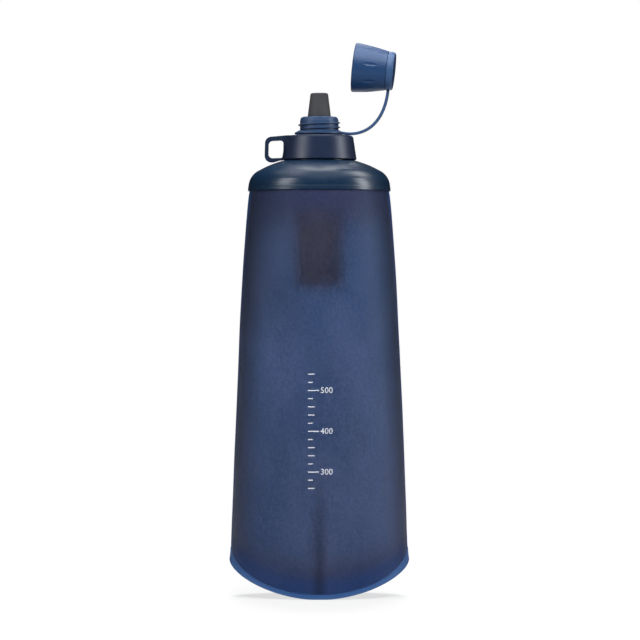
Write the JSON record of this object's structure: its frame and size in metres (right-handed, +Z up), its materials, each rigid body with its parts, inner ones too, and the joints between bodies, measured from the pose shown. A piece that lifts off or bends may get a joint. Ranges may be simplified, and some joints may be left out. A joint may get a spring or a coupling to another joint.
{
  "type": "folding water bottle",
  "caption": "Soft folding squeeze bottle: film pouch on a rigid shoulder, screw lid with carry loop, filter cartridge, soft mouthpiece and a cap on a strap.",
  "frame": {"origin": "on the ground, on the axis of the neck", "axes": "+Z up along the neck's axis; +X towards the hanging cap; -Y is the front"},
  "size_m": [0.1008, 0.0798, 0.3093],
  "materials": {
    "film": "frosted",
    "seam": "satin",
    "shoulder": "satin",
    "lid": "satin",
    "tether": "satin",
    "cap": "satin",
    "mouthpiece": "matte",
    "seal": "matte",
    "filter": "matte",
    "potting": "gloss",
    "fibre": "matte"
  },
  "bodies": {
    "base": {"base_panel": "film", "base_seam": "seam", "pouch_wall": "film"},
    "shoulder": {"shoulder": "shoulder"},
    "gasket": {"lid_gasket": "seal"},
    "lid": {"lid_shell": "lid", "spout": "tether", "spout_seal": "seal", "mouthpiece": "mouthpiece"},
    "neck_ring": {"tether_neck_ring": "tether", "tether_strap": "tether"},
    "cap_ring": {"tether_cap_ring": "tether"},
    "cap": {"cap_shell": "cap"},
    "filter_seal": {"filter_o_ring": "seal"},
    "filter": {"filter_head": "filter", "filter_housing": "filter", "filter_end_cap": "filter", "potting_plug": "potting", "fibre_bundle": "fibre"}
  },
  "joints": [
    {"name": "pouch_collapse", "type": "slide", "parent": "base", "child": "shoulder", "axis": [0, 0, -1], "range_m": [0, 0.115], "deforming": ["pouch_wall"]},
    {"name": "lid_rise", "type": "slide", "parent": "shoulder", "child": "gasket", "axis": [0, 0, 1], "range_m": [0, 0.0063]},
    {"name": "lid_turn", "type": "hinge", "parent": "gasket", "child": "lid", "pos_m": [0, 0, 0.25525], "axis": [0, 0, 1], "range_deg": [0, 450]},
    {"name": "filter_drop", "type": "slide", "parent": "lid", "child": "filter_seal", "axis": [0, 0, -1], "range_m": [0, 0.0038]},
    {"name": "filter_turn", "type": "hinge", "parent": "filter_seal", "child": "filter", "pos_m": [0, 0, 0.24645], "axis": [0, 0, -1], "range_deg": [0, 450]},
    {"name": "tether_swivel", "type": "hinge", "parent": "lid", "child": "neck_ring", "pos_m": [0, 0, 0.25835], "axis": [0, 0, 1], "range_deg": [-150, 150]},
    {"name": "cap_swing", "type": "hinge", "parent": "neck_ring", "child": "cap_ring", "pos_m": [0.02445, -0.00214, 0.27039], "axis": [-0.0872, -0.9962, 0], "range_deg": [-25, 96.3], "deforming": ["tether_strap"]},
    {"name": "cap_turn", "type": "hinge", "parent": "cap_ring", "child": "cap", "pos_m": [0.01933, -0.00169, 0.29565], "axis": [0.9902, -0.0866, -0.1097], "continuous": true}
  ],
  "couplings": [
    {"joint": "lid_rise", "follows": "lid_turn", "m_per_rad": 0.00079577},
    {"joint": "filter_drop", "follows": "filter_turn", "m_per_rad": 0.00047746}
  ]
}
